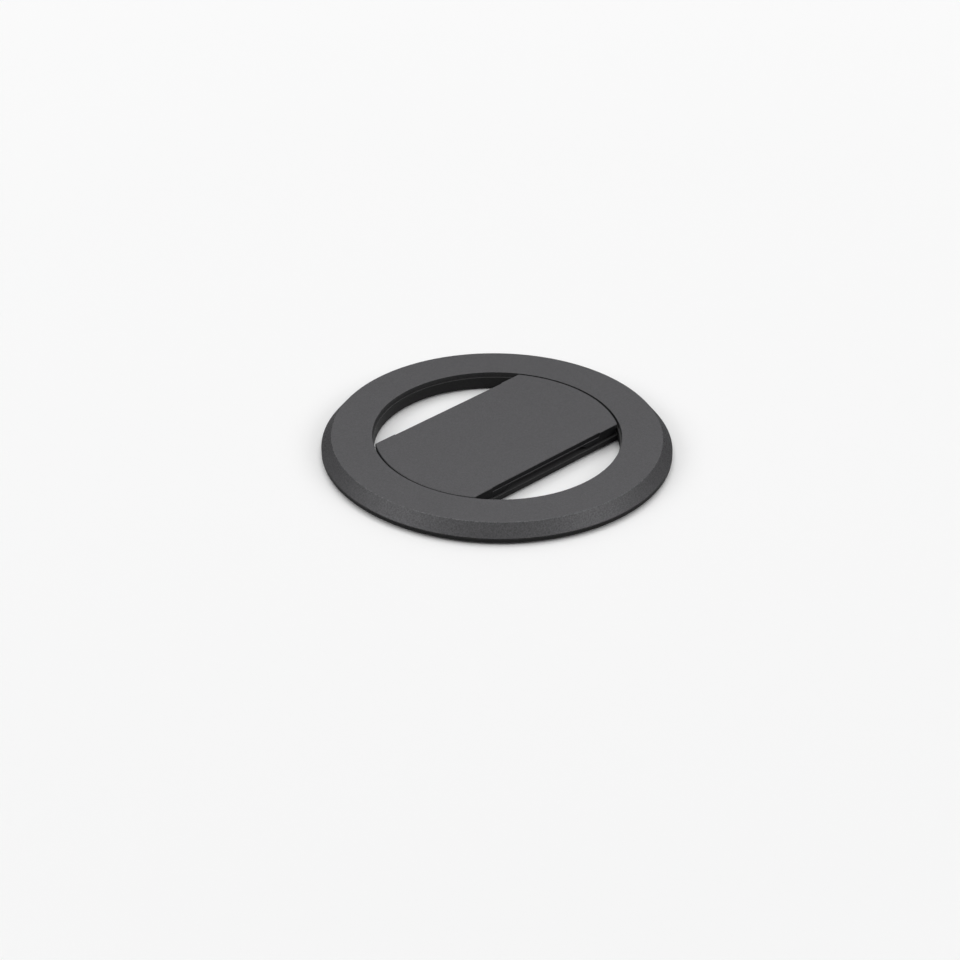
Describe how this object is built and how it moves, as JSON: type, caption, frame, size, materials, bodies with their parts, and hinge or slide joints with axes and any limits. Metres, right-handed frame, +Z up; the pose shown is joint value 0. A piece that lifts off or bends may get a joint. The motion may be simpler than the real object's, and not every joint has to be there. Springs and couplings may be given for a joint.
{
  "type": "phone ring holder",
  "caption": "Flat magnetic ring for a phone's back, with a bar across its opening that lifts on two links into a finger loop.",
  "frame": {"origin": "on the ring's axis, at the underside of the soft pad", "axes": "+Z up out of the phone's back along the ring's axis; +X along the grip bar; -Y towards the long side with the fingernail notch"},
  "size_m": [0.0582, 0.0582, 0.0033],
  "materials": {
    "blasted_metal": "bead-blasted and anodised dark grey, with fine bright edges",
    "housing": "moulded, fine matt texture, dark grey",
    "soft_pad": "soft black pad, matt",
    "tape": "black double-sided tape",
    "shunt_steel": "bright rolled steel sheet",
    "magnet_plating": "nickel plated",
    "link_steel": "stamped steel, blackened",
    "pin_steel": "ground steel wire"
  },
  "bodies": {
    "ring": {"top_cover": "blasted_metal", "base_housing": "housing", "soft_pad": "soft_pad", "pad_tape": "tape", "shunt_ring": "shunt_steel", "magnet_01": "magnet_plating", "magnet_02": "magnet_plating", "magnet_03": "magnet_plating", "magnet_04": "magnet_plating", "magnet_05": "magnet_plating", "magnet_06": "magnet_plating", "magnet_07": "magnet_plating", "magnet_08": "magnet_plating", "magnet_09": "magnet_plating", "magnet_10": "magnet_plating", "magnet_11": "magnet_plating", "magnet_12": "magnet_plating", "magnet_13": "magnet_plating", "magnet_14": "magnet_plating", "magnet_15": "magnet_plating", "magnet_16": "magnet_plating", "magnet_17": "magnet_plating", "magnet_18": "magnet_plating", "base_pin_left": "pin_steel", "base_pin_right": "pin_steel"},
    "link_left": {"link_left": "link_steel"},
    "link_right": {"link_right": "link_steel"},
    "bar": {"grip_bar": "blasted_metal", "bar_pin_left": "pin_steel", "bar_pin_right": "pin_steel"}
  },
  "joints": [
    {"name": "bar_lift", "type": "hinge", "parent": "ring", "child": "link_left", "pos_m": [-0.0167, 0, 0.00115], "axis": [0, -1, 0], "range_deg": [0, 100]},
    {"name": "bar_level", "type": "hinge", "parent": "link_left", "child": "bar", "pos_m": [-0.0009, 0, 0.0021], "axis": [0, 1, 0], "range_deg": [0, 100]},
    {"name": "right_link_swing", "type": "hinge", "parent": "ring", "child": "link_right", "pos_m": [0.0009, 0, 0.00115], "axis": [0, -1, 0], "range_deg": [0, 100]}
  ],
  "couplings": [
    {"joint": "bar_level", "follows": "bar_lift", "ratio": 1},
    {"joint": "right_link_swing", "follows": "bar_lift", "ratio": 1}
  ]
}
